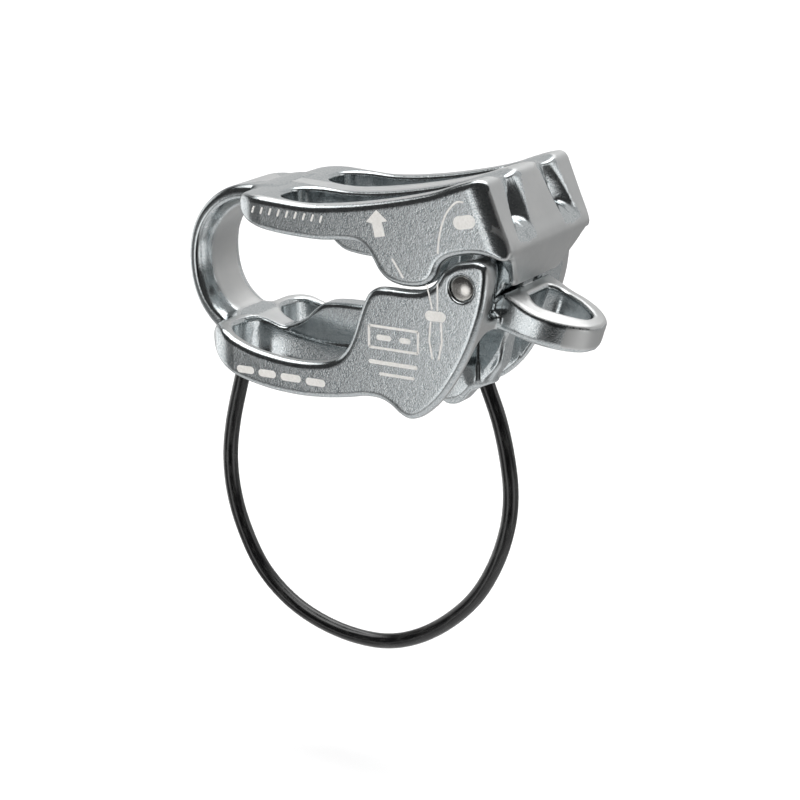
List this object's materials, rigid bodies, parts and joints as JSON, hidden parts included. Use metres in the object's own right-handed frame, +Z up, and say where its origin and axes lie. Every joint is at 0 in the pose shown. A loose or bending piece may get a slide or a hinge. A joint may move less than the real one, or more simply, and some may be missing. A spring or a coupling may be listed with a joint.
{
  "type": "belay device",
  "caption": "Guide-mode tube belay device: folded aluminium forging with two rope slots, an anchor eye, a release ring and a hinged wire keeper loop.",
  "frame": {"origin": "centre of the anchor eye, in the middle plane", "axes": "+X from the anchor eye towards the release ring, +Y across the device from the near side face to the far one, +Z up from the keeper loop towards the upper rope slots"},
  "size_m": [0.0886, 0.035, 0.1029],
  "materials": {
    "polished_aluminium": "hot forged, tumbled side faces, finer matte top, bottom and end faces",
    "rivet_steel": "plain stainless head, pressed flush",
    "black_sheath": "black extruded plastic sheath",
    "wire_steel": "plain steel wire"
  },
  "bodies": {
    "body": {"forged_body": "polished_aluminium", "closing_rivet": "rivet_steel", "front_cable_stop": "wire_steel", "rear_cable_stop": "wire_steel"},
    "keeper": {"keeper_sheath": "black_sheath", "keeper_core": "wire_steel"}
  },
  "joints": [
    {"name": "keeper_swing", "type": "hinge", "parent": "body", "child": "keeper", "pos_m": [0.02425, 0, -0.0196], "axis": [0.9998, 0, -0.0221], "range_deg": [-35, 35], "stiffness_Nm_per_rad": 0.15}
  ]
}
